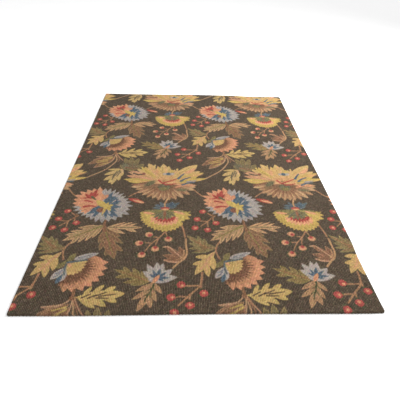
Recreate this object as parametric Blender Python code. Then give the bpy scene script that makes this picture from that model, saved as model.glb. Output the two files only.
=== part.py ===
"""A hand-hooked wool rug, lying flat.

One piece: looped wool on canvas, its edges turned under, so there is no binding or fringe.
Metres, +Z up. The origin is under the rug's middle, on the floor. The near edge is at -Y.
"""

from math import cos, pi, sin

import bpy

# Nominal size: 5 ft by 7 ft 6 in, and the height of the canvas and its loops together
WIDTH = 1.524
LENGTH = 2.286
THICKNESS = 0.010

# The pile rolls over at the rim, above and below
ROLL_RADIUS = 0.004
ROLL_STEPS = 2

# Longest step between two points of the outline
OUTLINE_STEP = 0.040
CORNER_STEPS = 5

# Turned corners: side of X, side of Y, radius
CORNERS = [
    (+1, -1, 0.012),
    (+1, +1, 0.016),
    (-1, +1, 0.008),
    (-1, -1, 0.008),
]

# How far each edge strays out of its straight line: place along the edge, distance out
LEFT_EDGE = [(-1.143, 0.000), (-1.046, 0.0015), (0.000, -0.0005), (1.143, 0.002)]
RIGHT_EDGE = [
    (-1.143, 0.000),
    (-1.077, -0.0015),
    (-0.845, -0.003),
    (-0.707, 0.0035),
    (-0.171, 0.0025),
    (0.342, -0.0035),
    (0.860, -0.002),
    (1.143, 0.000),
]
NEAR_EDGE = [(-0.762, 0.000), (-0.547, 0.0015), (0.058, -0.0015), (0.686, 0.0015), (0.762, 0.000)]
FAR_EDGE = [
    (-0.762, -0.004),
    (-0.650, -0.006),
    (-0.270, -0.003),
    (0.040, 0.008),
    (0.290, 0.007),
    (0.540, -0.008),
    (0.762, -0.002),
]

WOOL_COLOR = (0.20, 0.145, 0.095, 1.0)
WOOL_ROUGHNESS = 0.95


def remove_old_objects():
    for old in list(bpy.data.objects):
        bpy.data.objects.remove(old, do_unlink=True)


def stray(edge, along):
    """Distance out of the straight edge at a place along it, eased from row to row."""
    along = min(max(along, edge[0][0]), edge[-1][0])
    for (start, start_out), (end, end_out) in zip(edge, edge[1:]):
        if along <= end:
            part = (along - start) / (end - start)
            ease = part * part * (3 - 2 * part)
            return start_out + (end_out - start_out) * ease


def straight_outline():
    """Points round a rectangle with rounded corners, counter-clockwise from the near-right one."""
    outline = []
    for turn, (side_x, side_y, radius) in enumerate(CORNERS):
        centre_x = side_x * (WIDTH / 2 - radius)
        centre_y = side_y * (LENGTH / 2 - radius)
        start_angle = (turn - 1) * pi / 2
        for step in range(CORNER_STEPS + 1):
            angle = start_angle + pi / 2 * step / CORNER_STEPS
            outline.append((centre_x + radius * cos(angle), centre_y + radius * sin(angle)))
    return outline


def with_steps(outline):
    """The same closed outline, with its long sides cut into short steps."""
    points = []
    for (x, y), (next_x, next_y) in zip(outline, outline[1:] + outline[:1]):
        reach = ((next_x - x) ** 2 + (next_y - y) ** 2) ** 0.5
        count = max(1, round(reach / OUTLINE_STEP))
        for step in range(count):
            part = step / count
            points.append((x + (next_x - x) * part, y + (next_y - y) * part))
    return points


def hand_made(x, y):
    """Where a point of the straight rug lies on the real one."""
    side_edge = RIGHT_EDGE if x > 0 else LEFT_EDGE
    end_edge = FAR_EDGE if y > 0 else NEAR_EDGE
    stretch_x = stray(side_edge, y) / (WIDTH / 2)
    stretch_y = stray(end_edge, x) / (LENGTH / 2)
    return x * (1 + stretch_x), y * (1 + stretch_y)


def centred(points):
    """The points moved so that their box is centred on the origin."""
    xs = [x for x, y in points]
    ys = [y for x, y in points]
    middle_x = (min(xs) + max(xs)) / 2
    middle_y = (min(ys) + max(ys)) / 2
    return [(x - middle_x, y - middle_y) for x, y in points]


def wool():
    material = bpy.data.materials.new("wool")
    material.use_nodes = True
    shader = material.node_tree.nodes["Principled BSDF"]
    shader.inputs["Base Color"].default_value = WOOL_COLOR
    shader.inputs["Roughness"].default_value = WOOL_ROUGHNESS
    shader.inputs["Metallic"].default_value = 0.0
    return material


def make_rug(collection):
    outline = [hand_made(x, y) for x, y in with_steps(straight_outline())]
    points = centred(outline)

    curve = bpy.data.curves.new("rug", "CURVE")
    curve.dimensions = "2D"
    curve.fill_mode = "BOTH"
    curve.extrude = THICKNESS / 2 - ROLL_RADIUS
    curve.bevel_depth = ROLL_RADIUS
    curve.bevel_resolution = ROLL_STEPS
    curve.offset = -ROLL_RADIUS
    spline = curve.splines.new("POLY")
    spline.points.add(len(points) - 1)
    for point, (x, y) in zip(spline.points, points):
        point.co = (x, y, 0, 1)
    spline.use_cyclic_u = True

    rug = bpy.data.objects.new("rug", curve)
    rug.location.z = THICKNESS / 2
    collection.objects.link(rug)

    weld = rug.modifiers.new("Weld", "WELD")
    weld.merge_threshold = 0.0001

    curve.materials.append(wool())
    return rug


def main():
    remove_old_objects()
    collection = bpy.data.collections.new("hooked_rug")
    bpy.context.scene.collection.children.link(collection)
    make_rug(collection)


main()
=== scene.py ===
"""The looks of a hand-hooked wool rug: its looped pile, its pattern, its canvas back and its edges.

The pile is one grid of wool loops over the rug's own outline, rolled over the rim to the floor, cut
into lengthwise strips. Metres, +Z up, near edge at -Y, as in the frame. The pattern is drawn by
formulas in units of a thousandth of the rug's width, from the rug's near-left corner.
"""

from math import cos, pi, radians, sin, tan

import bpy
import numpy as np
from mathutils import Matrix, Vector


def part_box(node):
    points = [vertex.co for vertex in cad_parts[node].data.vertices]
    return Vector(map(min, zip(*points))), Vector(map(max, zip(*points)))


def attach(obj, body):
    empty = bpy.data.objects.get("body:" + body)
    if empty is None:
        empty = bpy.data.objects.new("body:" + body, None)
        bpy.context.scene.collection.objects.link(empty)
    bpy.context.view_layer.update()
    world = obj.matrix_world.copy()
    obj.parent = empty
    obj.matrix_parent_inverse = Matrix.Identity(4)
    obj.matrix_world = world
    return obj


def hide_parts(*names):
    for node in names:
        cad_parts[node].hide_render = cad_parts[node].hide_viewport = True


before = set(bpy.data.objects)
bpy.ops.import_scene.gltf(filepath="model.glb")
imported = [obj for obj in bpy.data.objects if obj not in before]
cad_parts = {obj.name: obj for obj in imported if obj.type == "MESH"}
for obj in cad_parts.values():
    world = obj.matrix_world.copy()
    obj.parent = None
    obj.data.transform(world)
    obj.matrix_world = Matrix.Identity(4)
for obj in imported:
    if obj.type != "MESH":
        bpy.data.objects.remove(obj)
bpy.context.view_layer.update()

RUG_LOW, RUG_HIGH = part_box("rug")

# Sizes of the rug, as in the frame's model
WIDTH = 1.524
LENGTH = 2.286
THICKNESS = RUG_HIGH[2] - RUG_LOW[2]

# Turned corners: side of X, side of Y, radius
CORNERS = [(+1, -1, 0.012), (+1, +1, 0.016), (-1, +1, 0.008), (-1, -1, 0.008)]

# How far each edge strays out of its straight line: place along the edge, distance out
LEFT_EDGE = [(-1.143, 0.000), (-1.046, 0.0015), (0.000, -0.0005), (1.143, 0.002)]
RIGHT_EDGE = [
    (-1.143, 0.000), (-1.077, -0.0015), (-0.845, -0.003), (-0.707, 0.0035),
    (-0.171, 0.0025), (0.342, -0.0035), (0.860, -0.002), (1.143, 0.000),
]
NEAR_EDGE = [(-0.762, 0.000), (-0.547, 0.0015), (0.058, -0.0015), (0.686, 0.0015), (0.762, 0.000)]
FAR_EDGE = [
    (-0.762, -0.004), (-0.650, -0.006), (-0.270, -0.003), (0.040, 0.008),
    (0.290, 0.007), (0.540, -0.008), (0.762, -0.002),
]

# The pile: its loops across and along, the grid lines in each, and its strips
LOOPS_ACROSS = 216
LOOPS_ALONG = 324
LOOP_COLUMNS = 3
LOOP_ROWS = 2
PILE_STRIPS = 5

# Each loop's height over its foot, how uneven that is, and the gaps between the loops
LOOP_TIP = 0.0035
LOOP_FOOT = 0.0005
LOOP_GAP_RISE = 0.08
LOOP_DIP_RISE = 0.45
LOOP_UNEVEN = 0.1
LOOP_STRAY = 0.0004
LOOP_SEED = 11

# The pile rolls over the rim and goes down to the canvas in rings of points
ROLL_RADIUS = 0.004
ROLL_LENGTH = 0.0078
RIM_COLUMNS = 4
RIM_ROWS = 3
RIM_LOOPS = 2
RIM_LOOP_SHARE = 0.8

# The pile's least height over the canvas, and a length too small to count
LEAST_PILE = 0.0001
NO_LENGTH = 1e-6

# The canvas under the pile, and its turned hem
CANVAS_TOP = 0.0010
CANVAS_INSET = 0.0025
HEM_WIDTH = 0.032
HEM_RELIEF = 0.0005

# The canvas's edge and hem, from its top down: distance in from its widest, height
CANVAS_RINGS = [
    (0.0008, CANVAS_TOP),
    (0.0000, 0.0006),
    (0.0006, 0.0000),
    (HEM_WIDTH, 0.0000),
    (HEM_WIDTH + 0.001, HEM_RELIEF),
]
CANVAS_COLOR = (150, 132, 104)

# Where the parts of a strip lie on its flat map
LOOPS_ON_MAP = 0.95
WALL_ON_MAP = (0.96, 0.97)
BASE_ON_MAP = 0.98

CANVAS_STEPS_ACROSS = 80
CANVAS_STEPS_ALONG = 120

# How the yarn's colour is set in the loops; each pair is for dark and for light yarn
YARN_SEED = 5
YARN_GAIN = 0.95
DARK_YARN = 0.08
LIGHT_YARN = 0.30
LOOP_TONE = (0.15, 0.09)
LOOP_HUE = 0.04
FIBRE_TONE = (0.20, 0.09)
# LOOP_SHADE is painted shade: the share of the yarn's colour kept where the loops dip into the gaps between
# them
LOOP_SHADE = (0.27, 0.52)

# The camera, as worked out from the rug's four corners in the photograph, 400 pixels square
IMAGE_SIZE = 400
CAMERA_ELEVATION = radians(37.03)
CAMERA_AZIMUTH = radians(-3.615)
CAMERA_ROLL = radians(2.592)
CAMERA_DISTANCE = 2.133
CAMERA_TARGET = (0.046, -0.381, 0)
CAMERA_FOCAL_PIXELS = 379.66
CAMERA_SHIFT = (-0.0134, 0.0001)
SENSOR_WIDTH = 36

# The studio
FLOOR_SIZE = 30
FLOOR_DROP = 0.0004
FLOOR_COLOR = (247, 247, 247)
WORLD_STRENGTH = 1.0
LAMP_PLACE = (2.8, 1.0, 2.2)
LAMP_SIZE = 1.6
LAMP_ENERGY = 180

# The length that the pattern is measured in
PATTERN_UNIT = WIDTH / 1000

# How far towards the near edge the pattern lies from its even rows: place along the rug, distance
DRIFT_LEFT = [(0, 5), (300, 7), (1050, 15), (1300, 4), (1500, -3)]
DRIFT_RIGHT = [(0, -2), (240, 2), (620, 4), (900, 9), (1100, 8), (1300, -4), (1500, -4)]
DRIFT_FROM = 500
DRIFT_TO = 850

# How much closer the columns of the pattern's near rows lie, about which place, and where that ends
DRIFT_ACROSS = 0.0085
DRIFT_MIDDLE = 400
DRIFT_END = 800
DRIFT_FADE = 120

# Yarn colours, as they show in the photograph (sRGB, 0 to 255)
GROUND = (91, 78, 64)
SALMON = (193, 137, 104)
PEACH = (206, 149, 112)
RED = (162, 78, 68)
BERRY = (170, 82, 75)
GREY = (164, 152, 142)
SLATE = (122, 122, 124)
BLUE = (88, 101, 110)
DUSK = (98, 104, 104)
YELLOW = (188, 160, 92)
STRAW = (192, 160, 106)
OCHRE = (164, 136, 78)
TAN = (178, 138, 100)
FAWN = (164, 134, 98)
BROWN = (138, 101, 75)
UMBER = (112, 80, 60)
OLIVE = (130, 118, 72)
MOSS = (108, 102, 74)
FERN = (74, 80, 56)
VEIN = (84, 68, 58)
STEM = (164, 122, 90)

# The pattern's repeat, how softly its colours end, and how far past its box a motif may reach
REPEAT_U = 470
REPEAT_V = 776
SOFT = 2.6
MARGIN = 24


def chance(number, seed=0.0):
    """A steady random value from 0 to 1 for each whole number."""
    wave = np.sin(number * 12.9898 + seed * 78.233) * 43758.5453
    return wave - np.floor(wave)


def teeth(place, seed=0.0, even=0.7):
    """Pointed teeth, one to each whole step, from 0 between them to about 1 at their tips."""
    number = np.floor(place)
    point = 1 - abs(2 * (place - number) - 1)
    return point * (even + (1 - even) * chance(number, seed))


def inside(distance, soft=SOFT):
    return np.clip(0.5 - distance / soft, 0, 1)


def smooth_path(points, steps=6):
    """Points along a smooth curve through the given ones."""
    points = [np.array(p, float) for p in points]
    if len(points) == 2:
        return points
    ends = [2 * points[0] - points[1]] + points + [2 * points[-1] - points[-2]]
    path = []
    for a, b, c, d in zip(ends, ends[1:], ends[2:], ends[3:]):
        for step in range(steps):
            t = step / steps
            path.append(0.5 * (2 * b + (c - a) * t + (2 * a - 5 * b + 4 * c - d) * t**2
                               + (3 * b - a - 3 * c + d) * t**3))
    return path + [points[-1]]


class Patch:
    """The part of the pile that a motif covers, in the motif's own repeat."""

    def __init__(self, u, v, rgb):
        self.u = u
        self.v = v
        self.rgb = rgb

    def dye(self, cover, color):
        self.rgb += (np.array(color, float) - self.rgb) * cover[..., None]

    def stroke(self, points, color, start, end=None, soft=SOFT, cover=1):
        """A line of yarn along a smooth curve, from one half-width to the other, kept in a cover."""
        end = start if end is None else end
        path = smooth_path(points)
        best = np.full(self.u.shape, 1e9)
        spans = len(path) - 1
        for n, (a, b) in enumerate(zip(path, path[1:])):
            du, dv = b - a
            part = ((self.u - a[0]) * du + (self.v - a[1]) * dv) / max(du * du + dv * dv, 1e-9)
            part = np.clip(part, 0, 1)
            away = np.hypot(self.u - a[0] - du * part, self.v - a[1] - dv * part)
            best = np.minimum(best, away - (start + (end - start) * (n + part) / spans))
        self.dye(cover * inside(best, soft), color)

    def oval(self, centre, radius_u, radius_v, color, tilt=0, ragged=0, soft=SOFT):
        du = self.u - centre[0]
        dv = self.v - centre[1]
        c, s = cos(radians(tilt)), sin(radians(tilt))
        x = (du * c + dv * s) / radius_u
        y = (dv * c - du * s) / radius_v
        turn = np.arctan2(y, x)
        reach = np.hypot(x, y) - ragged * teeth(turn * 9 / np.pi, centre[0])
        self.dye(inside((reach - 1 + ragged / 2) * min(radius_u, radius_v), soft), color)

    def blade(self, base, tip, half, full=0.4, sharp=0.85):
        """Distance out of a pointed petal, less than 0 inside it; full is where it is widest."""
        axis = np.subtract(tip, base).astype(float)
        length = np.hypot(*axis)
        axis /= length
        du = self.u - base[0]
        dv = self.v - base[1]
        along = (du * axis[0] + dv * axis[1]) / length
        away = abs(dv * axis[0] - du * axis[1])
        part = np.clip(along, 0, 1)
        blunt = sharp * full / (1 - full)
        shape = (part / full) ** blunt * ((1 - part) / (1 - full)) ** sharp
        beyond = abs(along - part) * length
        return np.where(beyond > 0, np.hypot(away, beyond), away - half * shape)

    def petal(self, base, tip, half, color, edge=None, edge_width=2, full=0.5, sharp=0.8):
        distance = self.blade(base, tip, half, full, sharp)
        self.dye(inside(distance), color if edge is None else edge)
        if edge is not None:
            self.dye(inside(distance + edge_width, 3), color)

    def petals(self, base, tips, *looks, **shape):
        """Petals from one base, each given by its tip and its half-width."""
        for u, v, half in tips:
            self.petal(base, (u, v), half, *looks, **shape)

    def blades(self, rows, *looks, **shape):
        """Petals that are each given by a base, a tip and a half-width."""
        for base_u, base_v, u, v, half in rows:
            self.petal((base_u, base_v), (u, v), half, *looks, **shape)

    def strokes(self, rows, *looks, **shape):
        """Straight lines of yarn, each given by its start and its end."""
        for u, v, end_u, end_v in rows:
            self.stroke([(u, v), (end_u, end_v)], *looks, **shape)

    def threads(self, paths, *looks):
        """Lines of yarn along several smooth curves."""
        for path in paths:
            self.stroke(path, *looks)

    def leaf(self, base, tip, width, lobes, color, edge, rib, lean, body, thick, seed, first=0.4,
             last=0.84, full=0.45, edge_width=3.5, rib_width=2.5, streak=None):
        """A leaf with long pointed lobes that lean forward.

        width and lobes each hold a value for its left and its right side, seen from its base:
        how far its lobes reach out, and their number. lean is their angle to the rib. first and
        last are the places along the rib that the tips of its lobes reach.
        """
        base = np.array(base, float)
        axis = np.array(tip, float) - base
        length = np.hypot(*axis)
        axis /= length
        normal = np.array((-axis[1], axis[0]))
        distance = self.blade(base, tip, body * sum(width) / 2, full, 1.0)
        lines = []
        for side, most, count in zip((1, -1), width, lobes):
            gap = (last - first) / max(count - 1, 1)
            for number in range(count):
                place = first + gap * (number + 0.3 * (chance(number + 7 * side, seed) - 0.5))
                out = most * (4 * place * (1 - place)) ** 0.5 * (0.92 + 0.16 * chance(number, seed + side))
                root = max(place - out / tan(radians(lean)) / length, 0.02)
                start = base + axis * length * root
                end = base + axis * length * place + normal * side * out
                half = thick * min(gap, 0.26) * length * sin(radians(lean))
                distance = np.minimum(distance, self.blade(start, end, half, 0.5, 0.9))
                lines.append((start, start + (end - start) * 0.8))
        self.dye(inside(distance), edge)
        self.dye(inside(distance + edge_width, 3), color)
        cover = inside(distance + 1)
        if streak is not None:
            for start, end in lines:
                self.stroke([start, end], streak, 1.6, 0.8, cover=cover)
        self.stroke([base, base + axis * length * 0.9], rib, rib_width, 1, cover=cover)

    def berries(self, rows, radius, color, heart, heart_size=0.36):
        """Berries with a light or dark heart, and a few loops of green beside each.

        Each is given by its centre and by how far beside that its heart lies.
        """
        for u, v, side_u, side_v in rows:
            for number in range(4):
                turn = 2 * pi * (number / 4 + 0.2 * chance(number, u))
                spot = (u + cos(turn) * radius * 1.12, v + sin(turn) * radius * 1.12)
                self.oval(spot, 5, 4, FERN, soft=5)
            self.oval((u, v), radius, radius * 0.95, color, ragged=0.35)
            self.oval((u + side_u, v + side_v), radius * heart_size, radius * heart_size, heart, soft=5)


def round_bloom(p):
    """A round flower, half salmon and half grey, with a slate-blue ring and a yellow star."""
    du, dv = p.u - 163, p.v - 480
    reach = np.hypot(du, dv)
    turn = np.degrees(np.arctan2(dv, du)) % 360
    petal = teeth(turn / 12.4, 3, 0.55)
    bulge = 12 * np.cos(2 * np.radians(turn - 145)) + 4 * np.cos(np.radians(turn - 225))
    flower = inside(reach - 85 - bulge - 25 * petal)
    p.dye(flower, GREY)
    p.dye(flower * inside(1.3 - petal * 3) * inside(92 - reach, 30) * 0.5, SLATE)
    thread = inside(0.24 - abs(teeth(turn / 6.2 + 0.4, 8) - 0.4), 0.3)
    p.dye(flower * thread * inside(reach - 96, 20) * 0.35, SLATE)
    salmon = inside(97 + 5 * np.sin(reach / 9) - turn, 3) * inside(turn - 190, 3)
    low = inside(188 - turn, 3) * inside(turn - 229, 3) * inside(reach - 74 - 12 * petal)
    salmon = flower * np.maximum(salmon, low)
    p.dye(salmon, SALMON)
    p.dye(salmon * inside(70 - reach, 16) * petal, PEACH)
    p.dye(salmon * inside(reach - 52, 20) * 0.4, PEACH)
    ray = teeth(turn / 21 + 0.2, 5, 0.4)
    signed = (turn + 180) % 360 - 180
    ring = inside(reach - 44 - 36 * ray) * inside(signed - 82, 4) * inside(-136 - signed, 4)
    p.dye(ring, BLUE)
    p.petals((176, 490), [(184, 534, 12), (212, 518, 8), (228, 494, 7)], BLUE, full=0.45)
    p.petals((176, 456), [(232, 462, 7), (229, 404, 8), (212, 402, 8), (188, 398, 6), (140, 406, 7),
        (118, 420, 8)], BLUE, full=0.45)
    p.petals((180, 464), [(208, 504, 3), (199, 420, 4), (160, 412, 5)], GREY, full=0.8)
    p.petal((156, 500), (174, 534), 9, SALMON, full=0.6)
    p.oval((166, 443), 17, 14, (140, 95, 76), ragged=0.25)
    p.stroke([(172, 452), (162, 436)], UMBER, 2.5, 1)
    p.oval((176, 462), 9, 7, YELLOW)
    p.petals((176, 462), [(139, 500, 13), (148, 483, 10), (203, 473, 7), (199, 454, 5), (199, 440, 6),
        (174, 420, 5), (184, 488, 5)], YELLOW, full=0.45)
    p.stroke([(174, 452), (172, 414)], STRAW, 2, 1.5)
    p.petals((116, 508), [(110, 550, 7), (129, 566, 8), (89, 540, 6), (138, 540, 6)], RED, full=0.45)
    p.stroke([(78, 512), (94, 512), (116, 518)], RED, 1.5, 5)
    p.stroke([(98, 497), (112, 494), (126, 487)], RED, 4.5, 3)
    p.stroke([(102, 461), (120, 466), (140, 463)], RED, 5.5, 3)
    p.stroke([(118, 520), (132, 505)], MOSS, 5.5, 4)


def bloom_leaves(p):
    """The three lobed leaves under the round flower."""
    p.leaf((190, 350), (244, 208), (44, 34), (3, 3), (138, 102, 78), lean=30, body=0.5, thick=0.58,
        full=0.55, edge=(146, 120, 84), edge_width=3, rib=OLIVE, streak=(118, 100, 72), seed=1)
    p.leaf((188, 364), (68, 288), (40, 34), (4, 4), FAWN, lean=34, first=0.42, last=0.88, body=0.5,
        thick=0.6, edge=(188, 148, 110), rib=OLIVE, rib_width=3.5, streak=(140, 118, 82), seed=2)
    p.leaf((188, 354), (314, 352), (28, 34), (3, 2), FAWN, lean=25, first=0.56, last=0.86, body=0.3,
        full=0.6, thick=0.52, edge=(190, 148, 108), edge_width=4, rib=MOSS, seed=3)
    p.stroke([(187, 392), (187, 372), (192, 336)], BROWN, 2.5, 6)


def red_sprig(p):
    """Five red berries beside the round flower."""
    p.threads([[(92, 412), (78, 398), (63, 380), (36, 353)], [(84, 404), (85, 384)],
        [(64, 384), (66, 356)], [(38, 386), (62, 383)], [(66, 428), (88, 408)]], STEM, 2.6, 2.2)
    p.stroke([(86, 420), (84, 404), (72, 392)], BROWN, 3, 2)
    p.berries([(50, 437, 4, 1), (30, 395, 0, 1), (94, 374, -1, 3), (22, 350, 2, 0), (64, 339, 0, 3)],
        12.5, BERRY, PEACH)


def fan_flower(p):
    """A yellow fan with a salmon and red heart, under a slate-blue crown."""
    p.petals((384, 446), [(340, 454, 7), (344, 470, 6), (364, 488, 7), (394, 480, 8), (410, 490, 7),
        (436, 484, 8), (426, 462, 7)], DUSK, full=0.6)
    p.petals((384, 450), [(352, 474, 3), (416, 484, 4), (426, 474, 3)], BLUE, full=0.7)
    p.stroke([(383, 458), (382, 478), (390, 506)], TAN, 3, 3.5)
    du, dv = p.u - 388, p.v - 424
    reach = np.hypot(du, dv)
    down = np.degrees(np.arctan2(du, -dv))
    right = np.clip((down - 42) / 16, 0, 1)
    small = teeth(down / 8.5 + 40, 7, 0.5)
    rim = 85 + 11 * small * (1 - right) + right * (18 * teeth(down / 13.5 + 40.4, 3) - 8)
    rim += 8 * np.clip(1 - abs(down) / 36, 0, 1) - 14 * np.clip(1.2 - abs(down - 53) / 8, 0, 1)
    top = dv - 13 + 0.1 * abs(du) - 4 * teeth(p.u / 15, 2)
    fan = inside(reach - rim) * inside(top, 3)
    p.dye(fan, YELLOW)
    p.dye(fan * inside(1 - small * 6) * inside(70 - reach, 8) * 0.45, OCHRE)
    p.dye(fan * inside(-1 - dv, 8) * inside(44 - abs(du), 8) * 0.35, OLIVE)
    inner = teeth(down / 13 + 40, 9)
    peach = inside(reach - 60 - 12 * inner) * inside(p.v - 402, 6) * inside(abs(du + 4) - 47, 6)
    p.dye(fan * peach, PEACH)
    red = inside(reach - 44 - 13 * teeth(down / 12 + 40, 4)) * inside(p.v - 400, 5)
    p.dye(fan * red * inside(abs(du + 2) - 33, 5), RED)
    for tip in [(336, 410), (346, 396), (362, 388), (378, 384), (394, 386), (410, 390), (424, 402)]:
        p.petal((386, 436), tip, 7, (122, 112, 80))
    p.oval((385, 420), 30, 18, (120, 112, 80), ragged=0.3, soft=6)
    p.oval((354, 430), 22, 6, (126, 118, 80), tilt=-8, soft=6)
    p.oval((424, 430), 20, 5, (126, 118, 80), tilt=10, soft=6)
    for tip in [(350, 404), (370, 392), (402, 392)]:
        p.stroke([(384, 432), tip], (106, 106, 92), 2, 1.2, soft=4)
    p.oval((384, 420), 5, 18, (146, 98, 74), soft=6)
    p.petal((352, 418), (308, 426), 6, PEACH, full=0.6)
    p.petal((414, 434), (456, 416), 6, PEACH, full=0.45)
    p.petal((404, 384), (422, 404), 7, RED)
    p.stroke([(316, 436), (362, 440), (400, 440), (448, 436)], (128, 120, 80), 3.2, 3)
    p.oval((384, 450), 17, 8, RED, ragged=0.3)
    p.oval((385, 444), 12, 5, PEACH)


def bud_sprig(p):
    """Five peach buds with red hearts under the fan."""
    p.threads([[(392, 326), (376, 300), (350, 268), (334, 236)], [(392, 326), (400, 306)],
        [(372, 296), (365, 264)], [(322, 274), (350, 272)], [(350, 302), (372, 298)]], STEM, 2.6, 2)
    p.berries([(340, 312, 4, -3), (312, 272, 6, 0), (325, 220, 1, 6), (364, 246, 1, 6), (404, 290, -1, 6)],
        12.5, (200, 146, 110), (160, 76, 70), heart_size=0.5)


def hooked_stem(p):
    """A stem that hooks round into a brown leaf."""
    p.petals((456, 200), [(436, 256, 9), (392, 258, 10), (386, 219, 11), (393, 199, 8)], (134, 98, 75),
        edge=(158, 120, 92), edge_width=2.2, full=0.46)
    p.oval((434, 208), 16, 11, (134, 98, 75), tilt=-20, soft=4)
    p.stroke([(388, 254), (404, 255), (424, 232), (446, 206)], (184, 142, 112), 2.6, 2)
    p.stroke([(392, 198), (410, 190), (436, 188)], (184, 142, 112), 2.2, 3)
    p.stroke([(404, 222), (424, 212)], (166, 124, 96), 1.6, 1.4)
    p.stroke([(444, 356), (450, 332), (455, 300)], STEM, 2.8)
    p.stroke([(457, 290), (458, 262), (461, 226), (452, 202), (440, 190), (420, 166)], TAN, 3.2)
    p.stroke([(452, 240), (450, 216), (440, 202)], TAN, 2)


def star_flower(p):
    """A small grey flower of pointed petals with its two leaves."""
    p.leaf((356, 112), (246, 160), (36, 27), (3, 3), (136, 114, 76), lean=32, edge=(146, 129, 82),
        body=0.36, thick=0.56, edge_width=3, rib=(150, 112, 78), seed=4)
    p.blades([(366, 106, 316, 77, 7), (360, 82, 309, 49, 8), (352, 66, 327, 11, 10), (352, 66, 363, 21, 9),
        (358, 84, 377, 42, 8), (366, 104, 390, 69, 7), (368, 114, 340, 32, 16)], (158, 124, 92),
        edge=(184, 142, 104), full=0.45, sharp=1.0)
    p.petal((366, 108), (342, 36), 13, (158, 124, 92))
    p.strokes([(346, 88, 330, 80), (342, 68, 324, 55), (340, 46, 332, 24), (356, 52, 361, 32),
        (366, 72, 372, 54), (374, 88, 383, 76)], (176, 136, 100), 2.4, 1.4, soft=4)
    p.stroke([(367, 110), (364, 94), (358, 76), (348, 54), (344, 42)], FERN, 2.4, 1.4)
    p.strokes([(362, 88, 349, 80), (354, 68, 340, 60), (364, 92, 371, 78), (358, 72, 362, 54)],
        (92, 90, 62), 1.9, 1.2, soft=3)
    p.petals((373, 122), [(330, 152, 12), (340, 180, 12), (370, 188, 13), (389, 184, 12), (417, 159, 13),
        (432, 128, 13)], GREY, full=0.42, sharp=1.0)
    p.oval((378, 134), 24, 22, GREY)
    p.oval((381, 121), 33, 15, GREY)
    p.petals((373, 126), [(350, 139, 4.5), (359, 156, 4.5), (381, 162, 6), (401, 148, 5), (411, 126, 5),
        (394, 114, 4.5)], BLUE, full=0.4, sharp=1.0)
    p.oval((374, 130), 10, 8, BLUE)
    p.petal((362, 106), (380, 138), 7, SALMON, full=0.45)


def low_sprig(p):
    """Five red berries on a stem that hangs from the yellow leaf."""
    p.threads([[(38, 146), (36, 122), (30, 96), (6, 70), (-30, 30)], [(33, 104), (34, 88)],
        [(-22, 97), (26, 98)], [(-38, 60), (-8, 60)], [(2, 66), (0, 44)]], STEM, 3.4, 2.4)
    p.berries([(41, 70, 0, 2), (-23, 102, 3, -4), (-50, 58, 4, 0), (2, 30, 0, 3), (-40, 8, 1, 0)],
        13, BERRY, PEACH)


def cup_flower(p):
    """A scalloped salmon flower seen from the side, with a yellow heart and grey bracts."""
    p.petals((106, 196), [(124, 228, 9), (84, 166, 8)], (124, 112, 74), edge=(138, 120, 84), edge_width=3)
    p.stroke([(80, 172), (96, 184), (118, 206)], (126, 114, 76), 7, 6)
    du, dv = p.u - 112, p.v - 173
    reach = np.hypot(du, dv)
    turn = np.degrees(np.arctan2(dv, du))
    side = np.clip((turn + 92) / 107, 0, 1)
    scallop = teeth(8 * side**1.1, 11, 1)
    fall = np.clip((turn - 14) / 30, 0, 1)
    cup = inside(reach - 102 - 16 * scallop + 30 * (1 - side) ** 3 + 40 * fall**1.5)
    cup *= inside(abs(turn + 28) - 68)
    p.dye(cup, SALMON)
    p.dye(cup * inside(scallop - 0.2, 0.4) * inside(100 - reach, 12) * 0.4, (206, 142, 112))
    p.dye(cup * inside(reach - 84 - 8 * teeth(turn / 9, 2), 16) * 0.6, (160, 118, 86))
    p.dye(cup * inside(0.6 - scallop, 0.5) * inside(reach - 96, 10) * 0.35, PEACH)
    flame = teeth(turn / 8 + 0.4, 6, 0.35)
    p.dye(cup * inside(reach - 60 - 26 * flame, 9), (122, 88, 68))
    p.dye(cup * inside(reach - 64, 14) * 0.4, UMBER)
    for tip in [(166, 194), (164, 180), (162, 168), (157, 156), (148, 147), (137, 141), (125, 140)]:
        p.petal((108, 184), tip, 9, (186, 155, 100), full=0.6)
    p.oval((128, 170), 22, 20, (186, 155, 100), tilt=16)
    for tip in [(152, 184), (150, 168), (138, 156)]:
        p.stroke([(114, 184), tip], (178, 146, 94), 2.4, 1.4, soft=5)
    p.petal((106, 192), (122, 172), 5, (196, 146, 108), full=0.4)
    p.stroke([(108, 190), (134, 195), (162, 201)], DUSK, 4.2, 3.2)
    p.petal((124, 203), (193, 229), 11, GREY, full=0.42)
    p.stroke([(136, 209), (156, 216), (180, 224)], SLATE, 2.2, 1.4)
    p.stroke([(134, 203), (156, 208), (172, 216)], SLATE, 1.8, 1.2)
    p.petal((110, 168), (75, 124), 12, GREY)
    p.petal((112, 160), (104, 116), 10, GREY, full=0.6)
    p.stroke([(84, 146), (92, 149), (101, 159)], SLATE, 2.4, 1.8)
    p.stroke([(82, 133), (90, 138), (98, 148)], SLATE, 2.2, 1.6)
    p.stroke([(106, 182), (106, 158), (110, 142)], DUSK, 3, 2.6)
    p.petal((105, 144), (94, 109), 7, BLUE, full=0.6)


def yellow_leaf(p):
    """A yellow leaf with a salmon rib, to the left of the cup flower."""
    fill = (184, 152, 100)
    p.blades([(72, 216, 24, 214, 9), (58, 192, 15, 184, 9), (72, 224, 79, 160, 11), (55, 190, 62, 134, 10),
        (86, 238, 21, 142, 15)], fill, edge=(188, 160, 98), full=0.52, sharp=0.9)
    p.oval((56, 188), 16, 26, fill, tilt=-30, soft=4)
    p.stroke([(81, 231), (61, 200), (54, 182), (40, 164)], (190, 144, 108), 3, 2.4, soft=4)
    p.strokes([(58, 202, 44, 206), (50, 184, 34, 184), (60, 188, 66, 168), (52, 174, 58, 152)],
        (188, 143, 106), 1.8, 1.2, soft=4)


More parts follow.
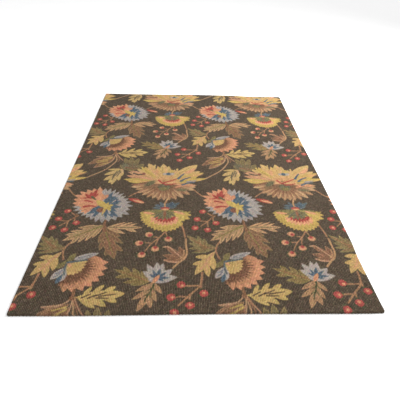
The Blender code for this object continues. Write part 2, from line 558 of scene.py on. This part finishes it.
def olive_leaf(p):
    """An olive leaf on the stem of the yellow one."""
    fill = (134, 114, 80)
    p.blades([(86, 249, 9, 230, 9), (60, 252, -3, 249, 7), (56, 256, -2, 273, 9), (53, 244, 49, 296, 9),
        (46, 248, 29, 309, 9), (52, 254, -7, 310, 10), (90, 250, 16, 262, 14)], fill, edge=(140, 128, 86),
        edge_width=2.5, sharp=1.1)
    p.oval((42, 259), 20, 11, fill, tilt=-10, soft=4)
    p.strokes([(88, 250, 40, 252), (50, 254, 49, 278), (40, 262, 32, 288), (52, 246, 22, 236)],
        (140, 106, 78), 1.8, 1.2, soft=4)
    p.stroke([(56, 254), (30, 274), (0, 302)], (150, 108, 78), 2.2, 1.6, soft=4)
    p.stroke([(102, 282), (90, 262), (85, 236), (94, 204)], STEM, 3.2, 2.6)


def veined_leaf(p):
    """A yellow leaf with dark veins."""
    fill = (184, 155, 100)
    p.blades([(164, 58, 218, 23, 7), (194, 62, 246, 28, 9), (224, 66, 273, 42, 9), (176, 60, 197, 95, 6),
        (198, 66, 230, 102, 7), (226, 70, 263, 96, 8)], fill, edge=(190, 164, 96), full=0.58)
    p.petal((156, 58), (290, 70), 16, fill, edge=(190, 164, 96), full=0.6, sharp=0.7)
    p.blades([(164, 57, 262, 60, 13), (170, 56, 240, 36, 10), (168, 60, 256, 76, 12)], fill)
    p.strokes([(176, 57, 198, 70), (193, 55, 214, 67), (209, 62, 240, 76), (222, 62, 267, 69),
        (215, 56, 248, 55)], VEIN, 2.1, 1.4)
    p.stroke([(150, 84), (152, 62)], BROWN, 4, 5)


def stem_cluster(p):
    """Leaf, stems and moss-green leaf where the branches part, below the cup flower."""
    p.blades([(144, 33, 81, 29, 6), (148, 36, 68, 0, 11), (152, 40, 53, -32, 15), (158, 30, 84, -55, 16)],
        (134, 100, 76), edge=(172, 134, 102))
    p.strokes([(144, 30, 110, 19), (147, 22, 120, 4), (132, -2, 90, -17), (134, -18, 100, -38),
        (116, 4, 84, -8)], (184, 160, 92), 3, 1.6, soft=4)
    p.stroke([(153, 60), (139, 43), (112, 33), (80, 31)], (180, 142, 110), 2.4, 2)
    p.stroke([(158, 54), (156, 28), (152, 4), (138, -20), (112, -45), (84, -56)], (176, 138, 106), 2.4, 2)
    p.petals((236, -84), [(186, -32, 12), (201, 21, 11), (228, 30, 12), (259, 21, 11), (284, -24, 12)],
        (127, 111, 78), edge=(146, 127, 84), edge_width=2.5, full=0.64)
    p.oval((234, -44), 30, 24, (120, 107, 79), soft=14)
    p.oval((210, -40), 16, 22, (115, 107, 84), tilt=20, soft=12)
    p.stroke([(214, -52), (238, -60), (260, -60)], (138, 100, 76), 5, 3, soft=8)
    for tip in [(212, -4), (236, 0), (262, -8)]:
        p.stroke([(238, -70), tip], (128, 102, 78), 2, 1, soft=4)
    p.stroke([(156, 62), (166, 20), (166, -6), (150, -42), (128, -76), (70, -130)], (172, 136, 102), 2.8, 3)
    p.stroke([(160, 62), (172, 36), (194, 2)], (172, 130, 100), 3, 2)
    p.stroke([(161, 50), (178, 10), (176, -8)], (140, 102, 78), 2)
    p.oval((154, 60), 8, 8, BROWN)


def drooping_leaf(p):
    """A yellow leaf with dark veins that hangs beside the giant bloom."""
    p.blades([(203, 710, 147, 705, 7), (196, 700, 140, 667, 11), (186, 670, 143, 628, 11),
        (184, 650, 165, 610, 9), (186, 672, 178, 600, 10), (196, 672, 201, 628, 9),
        (202, 704, 208, 658, 9)], (184, 154, 104), edge=(190, 164, 100))
    p.petal((204, 712), (176, 626), 14, (180, 150, 104))
    p.strokes([(196, 700, 182, 660), (200, 690, 190, 656), (186, 692, 172, 650), (180, 668, 174, 630)],
        (96, 88, 72), 2.4, 1.4)
    p.stroke([(202, 711), (209, 700), (207, 680)], (194, 156, 118), 2.4, 2)


# The giant bloom's upper petals, the far ones first: tip, half-width, colour
GIANT_PETALS = [
    (226, 701, 12, (176, 134, 102)), (226, 686, 10, (190, 146, 108)), (223, 662, 13, (184, 138, 104)),
    (216, 634, 14, YELLOW), (234, 618, 12, YELLOW), (256, 716, 13, STRAW), (271, 739, 15, YELLOW),
    (303, 754, 18, STRAW), (330, 748, 14, STRAW), (346, 730, 11, YELLOW), (366, 752, 17, STRAW),
    (388, 734, 16, STRAW), (427, 718, 14, STRAW), (404, 708, 12, YELLOW), (518, 697, 20, STRAW),
    (533, 686, 13, YELLOW), (507, 747, 24, STRAW), (510, 664, 19, YELLOW), (544, 643, 12, YELLOW),
    (500, 640, 16, YELLOW), (502, 594, 11, (192, 144, 108)),
]

# The petals of its skirt: direction, reach
SKIRT = [
    (193, 131), (203, 119), (214, 121), (225, 115), (237, 114), (248, 110), (260, 115), (271, 112),
    (281, 115), (293, 118), (307, 122), (322, 125), (338, 127), (347, 124),
]


def giant_bloom(p):
    """The large yellow flower over a tan skirt."""
    centre = np.array((378.0, 610.0))
    du, dv = p.u - centre[0], p.v - centre[1]
    reach = np.hypot(du, dv)
    turn = np.degrees(np.arctan2(dv, du)) % 360
    below = inside(184 - turn, 3) * inside(turn - 350, 3)
    p.dye(below * inside(reach - 70), (118, 88, 66))
    for number, (angle, length) in enumerate(SKIRT):
        way = np.array((cos(radians(angle)), sin(radians(angle)))) * length
        across = np.array((-way[1], way[0])) * 0.03
        color = np.array((142, 104, 78)) + np.array((40, 44, 34)) * chance(number, 9)
        p.petal(centre + way * 0.3, centre + way, 12, color, full=0.6, sharp=0.9)
        p.stroke([centre + way * 0.4 - across, centre + way * 0.8 - across], (136, 96, 73), 2.6, 1.2, soft=4)
        p.stroke([centre + way * 0.6 + across, centre + way * 0.95], (190, 154, 112), 2.4, 1.4, soft=4)
    p.dye(below * inside(reach - 64, 34) * 0.7, (132, 98, 74))
    for number, (u, v, half, color) in enumerate(GIANT_PETALS):
        way = np.subtract((u, v), centre)
        p.petal(centre + way * 0.12, (u, v), half, color, full=0.58, sharp=0.9)
        start = centre + way * 0.42
        side = np.array((-way[1], way[0])) * 0.04 * (1 if number % 2 else -1)
        p.stroke([start + side, centre + way * 0.86 + side], (200, 146, 112), half * 0.16, 0.8, soft=4)
        p.stroke([start - side, centre + way * 0.8 - side], (158, 134, 82), 1.8, 0.8, soft=4)
    p.blades([(340, 768, 337, 708, 5), (284, 752, 288, 716, 5), (410, 736, 420, 697, 5)], GROUND, full=0.3)
    p.dye(inside(reach - 54, 8) * inside(-6 - dv, 6), (190, 154, 104))
    p.dye(inside(reach - 46, 24) * inside(-6 - dv, 10) * 0.5, PEACH)
    for tip in [(300, 684), (330, 702), (356, 698), (414, 690), (448, 690), (476, 668), (482, 642)]:
        p.stroke([centre + (4, 8), tip], (172, 136, 90), 1.6, 1, soft=4)
    p.oval((480, 698), 24, 8, (204, 150, 114), tilt=48, soft=8)
    p.oval((506, 668), 20, 6, (202, 154, 108), tilt=20, soft=8)
    p.oval((342, 688), 6, 20, (196, 146, 108), tilt=10, soft=8)
    p.stroke([(424, 583), (448, 593), (486, 596)], SALMON, 5, 3)
    p.stroke([(257, 597), (280, 603), (312, 612)], (134, 96, 74), 5, 7, soft=6)
    p.stroke([(300, 574), (330, 582), (350, 588)], (128, 102, 76), 4, 6, soft=8)
    p.oval((321, 606), 27, 13, (112, 104, 78), tilt=46, ragged=0.3, soft=8)
    p.stroke([(262, 590), (296, 592)], (160, 120, 88), 2.5, 2, soft=4)
    p.oval((376, 582), 23, 24, (112, 104, 80), ragged=0.25, soft=6)
    p.oval((376, 571), 15, 11, (130, 116, 76), soft=6)
    p.oval((446, 564), 20, 9, (120, 110, 82), soft=8)
    p.threads([[(354, 629), (366, 611), (380, 600)], [(372, 610), (402, 626), (424, 639)],
        [(382, 598), (400, 600), (421, 607)]], RED, 4.2, 2.4)
    p.oval((372, 622), 5, 4, BROWN, soft=4)
    p.oval((376, 674), 9, 8, (168, 156, 144), soft=6)
    p.oval((400, 674), 14, 9, (168, 156, 144), tilt=20, soft=6)
    p.oval((389, 675), 9, 10, BLUE, soft=4)
    p.stroke([(430, 642), (438, 656), (452, 678)], BLUE, 5.5, 2.5)
    p.stroke([(440, 624), (456, 640), (478, 652)], BLUE, 5, 2.5)
    p.stroke([(446, 598), (468, 610), (494, 616)], BLUE, 4.5, 3)
    p.stroke([(466, 620), (498, 628)], (154, 144, 140), 4.5, 3)
    p.stroke([(250, 676), (272, 668), (294, 672)], (98, 86, 74), 4)
    p.oval((290, 674), 7, 9, (142, 92, 76), soft=5)


def bloom_bud(p):
    """A red bud with a peach tip."""
    p.petal((304, 483), (246, 508), 11, RED, full=0.45)
    p.petal((307, 481), (262, 500), 6, PEACH, full=0.4)


def thin_stems(p):
    p.threads([[(282, 552), (266, 538), (250, 522)], [(20, 568), (44, 534), (76, 506)]], STEM, 2.6)


# Each motif with how far it is moved, and the box that it fills in a repeat: low u, high u, low v, high v
MOTIFS = [
    (thin_stems, 0, 0, 0, 300, 490, 590),
    (stem_cluster, 0, 0, 30, 310, -150, 100),
    (olive_leaf, 0, 0, -60, 120, 190, 350),
    (bloom_leaves, 1, -4, 50, 330, 190, 410),
    (giant_bloom, -1, 2, 200, 560, 480, 780),
    (round_bloom, -2, -2, 40, 290, 350, 610),
    (red_sprig, -1, -3, 0, 130, 310, 460),
    (fan_flower, 2, 2, 280, 500, 310, 520),
    (bud_sprig, 0, 2, 280, 430, 190, 350),
    (hooked_stem, 3, 2, 370, 490, 140, 380),
    (star_flower, 5, 3, 230, 460, -10, 220),
    (low_sprig, 1, 1, -80, 80, -20, 160),
    (cup_flower, 2, 1, 50, 260, 50, 250),
    (yellow_leaf, -4, -2, -20, 130, 110, 270),
    (veined_leaf, 3, 3, 130, 320, 20, 120),
    (drooping_leaf, -5, -1, 120, 230, 580, 740),
    (bloom_bud, 2, 2, 230, 330, 460, 530),
]


def hooked_design(u, v):
    """The yarn's colour at each point of the pile, sRGB from 0 to 255."""
    rgb = np.full((*u.shape, 3), GROUND, float)
    columns = u[u.shape[0] // 2]
    rows = v[:, v.shape[1] // 2]
    for repeat_v in range(-1, 3):
        for repeat_u in range(-1, 3):
            for paint, move_u, move_v, low_u, high_u, low_v, high_v in MOTIFS:
                shift_u = repeat_u * REPEAT_U + move_u
                shift_v = repeat_v * REPEAT_V + move_v
                left, right = np.searchsorted(columns, [low_u + shift_u - MARGIN, high_u + shift_u + MARGIN])
                near, far = np.searchsorted(rows, [low_v + shift_v - MARGIN, high_v + shift_v + MARGIN])
                if right > left and far > near:
                    spot = (slice(near, far), slice(left, right))
                    paint(Patch(u[spot] - shift_u, v[spot] - shift_v, rgb[spot]))
    return rgb


def stray(edge, along):
    """Distance out of the straight edge at each place along it, eased from row to row."""
    places, outs = np.array(edge, float).T
    along = np.clip(along, places[0], places[-1])
    span = np.clip(np.searchsorted(places, along) - 1, 0, len(edge) - 2)
    part = (along - places[span]) / (places[span + 1] - places[span])
    return outs[span] + (outs[span + 1] - outs[span]) * part * part * (3 - 2 * part)


def hand_made(x, y):
    """Where points of the straight rug lie on the real one, whose box is centred on the origin."""
    stretch_x = np.where(x > 0, stray(RIGHT_EDGE, y), stray(LEFT_EDGE, y)) / (WIDTH / 2)
    stretch_y = np.where(y > 0, stray(FAR_EDGE, x), stray(NEAR_EDGE, x)) / (LENGTH / 2)
    return x * (1 + stretch_x) - SHIFT_X, y * (1 + stretch_y) - SHIFT_Y


# The strays' greatest reaches are not even, so the outline's box is moved to the middle
SHIFT_X = (max(out for _, out in RIGHT_EDGE) - max(out for _, out in LEFT_EDGE)) / 2
SHIFT_Y = (max(out for _, out in FAR_EDGE) - max(out for _, out in NEAR_EDGE)) / 2


def turned_corners(x, y, half_x, half_y, inset):
    """Points of a rectangle drawn in where its corners are round, and the way out at each point."""
    round_x = x.copy()
    round_y = y.copy()
    way_x = np.zeros_like(x)
    way_y = np.zeros_like(y)
    for side_x, side_y, turned_radius in CORNERS:
        radius = max(turned_radius - inset, 0.001)
        centre_x = half_x - radius
        centre_y = half_y - radius
        here = (x * side_x >= 0) & (y * side_y >= 0)
        part_x = np.clip((x * side_x - centre_x) / radius, 0, 1)
        part_y = np.clip((y * side_y - centre_y) / radius, 0, 1)
        way_x = np.where(here, side_x * part_x * np.sqrt(1 - part_y**2 / 2), way_x)
        way_y = np.where(here, side_y * part_y * np.sqrt(1 - part_x**2 / 2), way_y)
        corner = here & (part_x > 0) & (part_y > 0)
        round_x = np.where(corner, side_x * centre_x + radius * way_x, round_x)
        round_y = np.where(corner, side_y * centre_y + radius * way_y, round_y)
    size = np.maximum(np.hypot(way_x, way_y), 1e-9)
    return round_x, round_y, way_x / size, way_y / size


def linear(srgb):
    """The light of a colour that is given as it shows, from 0 to 255."""
    part = np.clip(np.asarray(srgb, float) / 255, 0, 1)
    return np.where(part <= 0.04045, part / 12.92, ((part + 0.055) / 1.055) ** 2.4)


def cloth_lines(flat, count, rings):
    """Places of the pile's grid lines along one way of the cloth, with its rings over each rim."""
    middle = np.linspace(-flat, flat, count + 1)
    over = ROLL_LENGTH * np.arange(1, rings + 1) / rings
    return np.concatenate([-flat - over[::-1], middle, flat + over])


def loop_grid():
    """The pile's points, their feet, their places in the pattern, their loops' numbers and their rise."""
    draw = np.random.default_rng(LOOP_SEED)
    flat_x = WIDTH / 2 - LOOP_TIP - ROLL_RADIUS
    flat_y = LENGTH / 2 - LOOP_TIP - ROLL_RADIUS
    lines_x = cloth_lines(flat_x, LOOPS_ACROSS * LOOP_COLUMNS, RIM_COLUMNS)
    lines_y = cloth_lines(flat_y, LOOPS_ALONG * LOOP_ROWS, RIM_ROWS)
    cloth_x, cloth_y = np.meshgrid(lines_x, lines_y)
    column, row = np.meshgrid(np.arange(len(lines_x)), np.arange(len(lines_y)))
    u = (cloth_x + WIDTH / 2) / PATTERN_UNIT
    v = (cloth_y + LENGTH / 2) / PATTERN_UNIT

    # Each loop has a ridge of points across its row and one high and one low line along it
    loop_column, across = np.divmod(column - RIM_COLUMNS + LOOP_COLUMNS * RIM_LOOPS, LOOP_COLUMNS)
    loop_row, along = np.divmod(row + loop_column % 2, LOOP_ROWS)
    rise = np.where(across == 0, LOOP_GAP_RISE, np.where(along == 0, LOOP_DIP_RISE, 1.0))
    rise = np.clip(rise + draw.normal(0, LOOP_UNEVEN, u.shape), 0, 1)

    over = np.maximum(np.maximum(abs(cloth_x) - flat_x, abs(cloth_y) - flat_y), 0)
    over[over < NO_LENGTH] = 0
    free = over == 0
    x = cloth_x * flat_x / (flat_x + over)
    y = cloth_y * flat_y / (flat_y + over)
    x += draw.uniform(-LOOP_STRAY, LOOP_STRAY, x.shape) * free
    y += draw.uniform(-LOOP_STRAY, LOOP_STRAY, y.shape) * free
    x, y, way_x, way_y = turned_corners(x, y, flat_x, flat_y, LOOP_TIP + ROLL_RADIUS)

    turn = np.minimum(over / ROLL_RADIUS, pi / 2)
    drop = np.maximum(over - ROLL_RADIUS * pi / 2, 0)
    height = LOOP_FOOT + (LOOP_TIP - LOOP_FOOT) * rise
    height = np.where(free, height, height * RIM_LOOP_SHARE)
    out = (ROLL_RADIUS + height) * np.sin(turn)
    z = THICKNESS - LOOP_TIP - ROLL_RADIUS * (1 - np.cos(turn)) - drop + height * np.cos(turn)
    z = np.maximum(z, CANVAS_TOP + LEAST_PILE)
    foot_out = np.where(free, out, ROLL_RADIUS)
    points = np.stack([*hand_made(x + way_x * out, y + way_y * out), z], -1)
    feet = hand_made(x + way_x * foot_out, y + way_y * foot_out)
    feet = np.stack([*feet, np.full_like(z, CANVAS_TOP)], -1)
    return points, feet, u, v, (loop_column, loop_row), rise


def round_edge(grid):
    """The values at a grid's edge, once round it from its first corner."""
    return np.concatenate([grid[0, :-1], grid[:-1, -1], grid[-1, :0:-1], grid[:0:-1, 0]])


def mesh_object(name, points, faces, smooth_count):
    """An object made of arrays of faces, of which the first smooth_count faces are smooth."""
    mesh = bpy.data.meshes.new(name)
    corners = np.concatenate([group.ravel() for group in faces]).astype(np.int32)
    sizes = np.concatenate([np.full(len(group), group.shape[1]) for group in faces]).astype(np.int32)
    mesh.vertices.add(len(points))
    mesh.vertices.foreach_set("co", points.astype(np.float32).ravel())
    mesh.loops.add(len(corners))
    mesh.loops.foreach_set("vertex_index", corners)
    mesh.polygons.add(len(sizes))
    mesh.polygons.foreach_set("loop_start", np.concatenate([[0], np.cumsum(sizes)[:-1]]).astype(np.int32))
    mesh.update(calc_edges=True)
    mesh.polygons.foreach_set("use_smooth", np.arange(len(sizes)) < smooth_count)
    piece = bpy.data.objects.new(name, mesh)
    bpy.context.scene.collection.objects.link(piece)
    return piece


def pile_strip(name, points, feet, yarn, material):
    """A closed strip of the pile: its loops above, a wall round it, and its base on the canvas."""
    rows = points.shape[0] - 1
    columns = points.shape[1] - 1
    index = np.arange((rows + 1) * (columns + 1)).reshape(rows + 1, columns + 1)
    first = index.size
    loops = np.stack([index[:-1, :-1], index[:-1, 1:], index[1:, 1:], index[1:, :-1]], -1).reshape(-1, 4)

    rim = round_edge(index)
    count = len(rim)
    base = first + np.arange(count)
    wall = np.stack([rim, base, np.roll(base, -1), np.roll(rim, -1)], -1)
    near = base[:columns + 1]
    right = base[columns:columns + rows + 1]
    far = base[columns + rows:2 * columns + rows + 1]
    left = np.concatenate([base[:1], base[:2 * columns + rows - 1:-1]])
    floor = np.stack([left[1:-2], left[2:-1], right[2:-1], right[1:-2]], -1)
    near_end = np.concatenate([near[::-1], left[1:2], right[1:2]])[None]
    far_end = np.concatenate([far[::-1], right[-2:-1], left[-2:-1]])[None]

    foot = feet.reshape(-1, 3)[rim]
    every = np.concatenate([points.reshape(-1, 3), foot])
    piece = mesh_object(name, every, [loops, wall, floor, near_end, far_end], len(loops))

    color = np.ones((len(every), 4), np.float32)
    color[:first, :3] = yarn.reshape(-1, 3)
    color[first:, :3] = linear(CANVAS_COLOR)
    attribute = piece.data.color_attributes.new("yarn", "FLOAT_COLOR", "POINT")
    attribute.data.foreach_set("color", color.ravel())

    # A flat map: the loops over most of the square, the wall and the base in bands above them
    grid_row, grid_column = np.divmod(np.arange(first), columns + 1)
    loop_place = np.stack([grid_column / columns, grid_row / rows * LOOPS_ON_MAP], -1)
    before = np.arange(count) / count
    after = before + 1 / count
    low, high = (np.full(count, place) for place in WALL_ON_MAP)
    wall_place = np.stack([before, high, before, low, after, low, after, high], -1).reshape(-1, 2)
    spot = (foot[:, :2] - foot[:, :2].min(0)) / np.ptp(foot[:, :2], axis=0)
    base_place = np.stack([spot[:, 1], 1 - spot[:, 0] * (1 - BASE_ON_MAP)], -1)
    corners = [loop_place[loops.ravel()], wall_place]
    corners += [base_place[group.ravel() - first] for group in (floor, near_end, far_end)]
    layer = piece.data.uv_layers.new(name="OFBake")
    layer.data.foreach_set("uv", np.concatenate(corners).astype(np.float32).ravel())
    piece.data.materials.append(material)
    return piece


def canvas_back(material):
    """The canvas under the pile: one closed sheet with a turned hem round its underside."""
    half_x = WIDTH / 2 - CANVAS_INSET
    half_y = LENGTH / 2 - CANVAS_INSET
    across = np.linspace(-half_x, half_x, CANVAS_STEPS_ACROSS + 1)
    along = np.linspace(-half_y, half_y, CANVAS_STEPS_ALONG + 1)
    edge_x, edge_y = (round_edge(grid) for grid in np.meshgrid(across, along))

    def ring(inset, z):
        """The sheet's edge drawn in by a distance, at a height."""
        x = edge_x * (half_x - inset) / half_x
        y = edge_y * (half_y - inset) / half_y
        x, y, _, _ = turned_corners(x, y, half_x - inset, half_y - inset, inset + CANVAS_INSET)
        return np.stack([*hand_made(x, y), np.full_like(x, z)], -1)

    rings = [ring(inset, z) for inset, z in CANVAS_RINGS]
    count = len(edge_x)
    index = np.arange(count * len(rings)).reshape(len(rings), count)
    faces = []
    for above, below in zip(index, index[1:]):
        faces.append(np.stack([above, below, np.roll(below, -1), np.roll(above, -1)], -1))
    faces = [np.concatenate(faces), index[0][None], index[-1][::-1][None]]
    piece = mesh_object("canvas_back", np.concatenate(rings), faces, 0)
    piece.data.materials.append(material)
    return piece


class Nodes:
    """A Principled material whose nodes are added by short calls."""

    def __init__(self, name, roughness, specular):
        self.material = bpy.data.materials.new(name)
        self.material.use_nodes = True
        self.tree = self.material.node_tree
        self.shader = self.tree.nodes["Principled BSDF"]
        self.shader.inputs["Roughness"].default_value = roughness
        self.shader.inputs["Specular IOR Level"].default_value = specular

    def add(self, kind, **values):
        node = self.tree.nodes.new(kind)
        for key, value in values.items():
            if hasattr(node, key):
                setattr(node, key, value)
            else:
                node.inputs[key.replace("_", " ")].default_value = value
        return node

    def link(self, source, target):
        self.tree.links.new(source, target)

    def place(self):
        return self.add("ShaderNodeTexCoord").outputs["Object"]

    def noise(self, scale, detail=2):
        node = self.add("ShaderNodeTexNoise", Scale=scale, Detail=detail)
        self.link(self.place(), node.inputs["Vector"])
        return node.outputs["Fac"]

    def tinted(self, color, fac, low, high):
        """A colour, or a node's colour, made darker and lighter by a pattern."""
        span = self.add("ShaderNodeMapRange", From_Min=0.3, From_Max=0.7, To_Min=low, To_Max=high)
        self.link(fac, span.inputs["Value"])
        mix = self.add("ShaderNodeMix", data_type="RGBA", blend_type="MULTIPLY", Factor=1)
        if isinstance(color, tuple):
            mix.inputs["A"].default_value = (*linear(color), 1)
        else:
            self.link(color, mix.inputs["A"])
        self.link(span.outputs["Result"], mix.inputs["B"])
        return mix.outputs["Result"]

    def bump(self, height, strength, distance, normal=None):
        node = self.add("ShaderNodeBump", Strength=strength, Distance=distance)
        self.link(height, node.inputs["Height"])
        if normal is not None:
            self.link(normal, node.inputs["Normal"])
        return node.outputs["Normal"]


def looped_wool():
    """Matt wool yarn in the pattern's colours, with twist and stray fibres."""
    wool = Nodes("looped_wool", roughness=1.0, specular=0.04)
    wool.shader.inputs["Sheen Weight"].default_value = 0.03
    wool.shader.inputs["Sheen Roughness"].default_value = 0.6
    dye = wool.add("ShaderNodeAttribute", attribute_name="yarn").outputs["Color"]
    dye = wool.tinted(dye, wool.noise(scale=700, detail=3), low=0.86, high=1.14)
    dye = wool.tinted(dye, wool.noise(scale=9, detail=3), low=0.96, high=1.04)
    wool.link(dye, wool.shader.inputs["Base Color"])
    fibres = wool.bump(wool.noise(scale=2600), strength=0.5, distance=0.0004)
    twist = wool.bump(wool.noise(scale=900), strength=0.6, distance=0.0008, normal=fibres)
    wool.link(twist, wool.shader.inputs["Normal"])
    return wool.material


def woven_canvas():
    """Plain-woven cotton canvas, with painted shade between its threads."""
    canvas = Nodes("woven_canvas", roughness=0.9, specular=0.2)
    place = canvas.place()
    weave = canvas.add("ShaderNodeMath", operation="MAXIMUM")
    for way, socket in zip("XY", weave.inputs):
        wave = canvas.add("ShaderNodeTexWave", bands_direction=way, Scale=180.0, Distortion=1.5)
        canvas.link(place, wave.inputs["Vector"])
        canvas.link(wave.outputs["Fac"], socket)
    # Painted shade: the canvas is darker where the weave dips between its threads, just as its bump is lower
    # there
    color = canvas.tinted(CANVAS_COLOR, weave.outputs["Value"], low=0.82, high=1.06)
    color = canvas.tinted(color, canvas.noise(scale=60, detail=4), low=0.92, high=1.08)
    canvas.link(color, canvas.shader.inputs["Base Color"])
    relief = canvas.bump(weave.outputs["Value"], strength=0.6, distance=0.0005)
    canvas.link(relief, canvas.shader.inputs["Normal"])
    return canvas.material


def drifted(u, v):
    """Where the points lie in the even pattern, whose rows were not drawn quite evenly."""
    near = np.clip((DRIFT_END - v) / DRIFT_FADE, 0, 1)
    part = np.clip((u - DRIFT_FROM) / (DRIFT_TO - DRIFT_FROM), 0, 1)
    along = v + stray(DRIFT_LEFT, v) * (1 - part) + stray(DRIFT_RIGHT, v) * part
    return u + (u - DRIFT_MIDDLE) * DRIFT_ACROSS * near, along


def dyed_yarn(u, v, loop, rise):
    """The light that each point of the pile gives back: the pattern, uneven from loop to loop, with painted
    shade that darkens the gaps between the loops.
    """
    draw = np.random.default_rng(YARN_SEED)
    yarn = linear(hooked_design(*drifted(u, v)))
    loops = (loop[1].max() + 1, loop[0].max() + 1)
    tone = draw.normal(0, 1, (*loops, 1))[loop[1], loop[0]]
    hue = draw.normal(0, LOOP_HUE, (*loops, 3))[loop[1], loop[0]]
    fibre = draw.normal(0, 1, (*u.shape, 1))
    light = np.clip((yarn.mean(-1, keepdims=True) - DARK_YARN) / (LIGHT_YARN - DARK_YARN), 0, 1)
    spreads = (dark + (pale - dark) * light for dark, pale in (LOOP_TONE, FIBRE_TONE, LOOP_SHADE))
    tone_spread, fibre_spread, gap_shade = spreads
    # Random tone of each loop and fibre, times painted shade that darkens the colour where the loops dip low
    # between each other
    tone_and_gap_shade = np.exp(tone * tone_spread + hue + fibre * fibre_spread) * (gap_shade + (1 - gap_shade) * rise[..., None])
    return np.clip(yarn * tone_and_gap_shade * YARN_GAIN, 0, 1)


def make_rug():
    points, feet, u, v, loop, rise = loop_grid()
    yarn = dyed_yarn(u, v, loop, rise)
    wool = looped_wool()
    canvas = canvas_back(woven_canvas())
    strips = []
    cuts = np.linspace(0, LOOPS_ACROSS, PILE_STRIPS + 1).round().astype(int) * LOOP_COLUMNS + RIM_COLUMNS
    cuts[0] = 0
    cuts[-1] = points.shape[1] - 1
    for number, (start, end) in enumerate(zip(cuts, cuts[1:]), 1):
        part = slice(start, end + 1)
        strips.append(pile_strip(f"pile_{number}", points[:, part], feet[:, part], yarn[:, part], wool))
    for piece in [canvas] + strips:
        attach(piece, "root")
        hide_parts("rug")


def plain_floor():
    bpy.ops.mesh.primitive_plane_add(size=FLOOR_SIZE, location=(0, 0, -FLOOR_DROP))
    floor = bpy.context.object
    floor.name = "floor"
    paint = Nodes("pale_floor", roughness=0.9, specular=0.1)
    color = paint.tinted(FLOOR_COLOR, paint.noise(scale=3), low=0.99, high=1.0)
    paint.link(color, paint.shader.inputs["Base Color"])
    floor.data.materials.append(paint.material)


def soft_light():
    """A large soft lamp that faces the rug's middle."""
    lamp = bpy.data.lights.new("key", "AREA")
    lamp.shape = "DISK"
    lamp.size = LAMP_SIZE
    lamp.energy = LAMP_ENERGY
    thing = bpy.data.objects.new("key", lamp)
    thing.location = LAMP_PLACE
    thing.rotation_euler = (-Vector(LAMP_PLACE)).to_track_quat("-Z", "Y").to_euler()
    bpy.context.scene.collection.objects.link(thing)


def studio():
    plain_floor()
    world = bpy.data.worlds.new("studio")
    world.use_nodes = True
    sky = world.node_tree.nodes["Background"].inputs
    sky["Color"].default_value = (1, 1, 1, 1)
    sky["Strength"].default_value = WORLD_STRENGTH
    bpy.context.scene.world = world
    soft_light()
    view = bpy.context.scene.view_settings
    view.view_transform = "Standard"
    view.look = "None"


def photo_camera():
    """The photograph's view: elevation, azimuth and roll, a distance from a target, and a lens."""
    level = cos(CAMERA_ELEVATION)
    back = Vector((sin(CAMERA_AZIMUTH) * level, -cos(CAMERA_AZIMUTH) * level, sin(CAMERA_ELEVATION)))
    right = Vector((0, 0, 1)).cross(back).normalized()
    above = back.cross(right)
    rolled = right * cos(CAMERA_ROLL) + above * sin(CAMERA_ROLL)
    rolled_above = above * cos(CAMERA_ROLL) - right * sin(CAMERA_ROLL)
    data = bpy.data.cameras.new("photo_camera")
    data.sensor_width = SENSOR_WIDTH
    data.lens = CAMERA_FOCAL_PIXELS / IMAGE_SIZE * SENSOR_WIDTH
    data.shift_x, data.shift_y = CAMERA_SHIFT
    data.clip_end = 100
    camera = bpy.data.objects.new("photo_camera", data)
    turn = Matrix((rolled, rolled_above, back)).transposed().to_4x4()
    turn.translation = Vector(CAMERA_TARGET) + back * CAMERA_DISTANCE
    camera.matrix_world = turn
    bpy.context.scene.collection.objects.link(camera)
    bpy.context.scene.camera = camera


photo_camera()
make_rug()
studio()
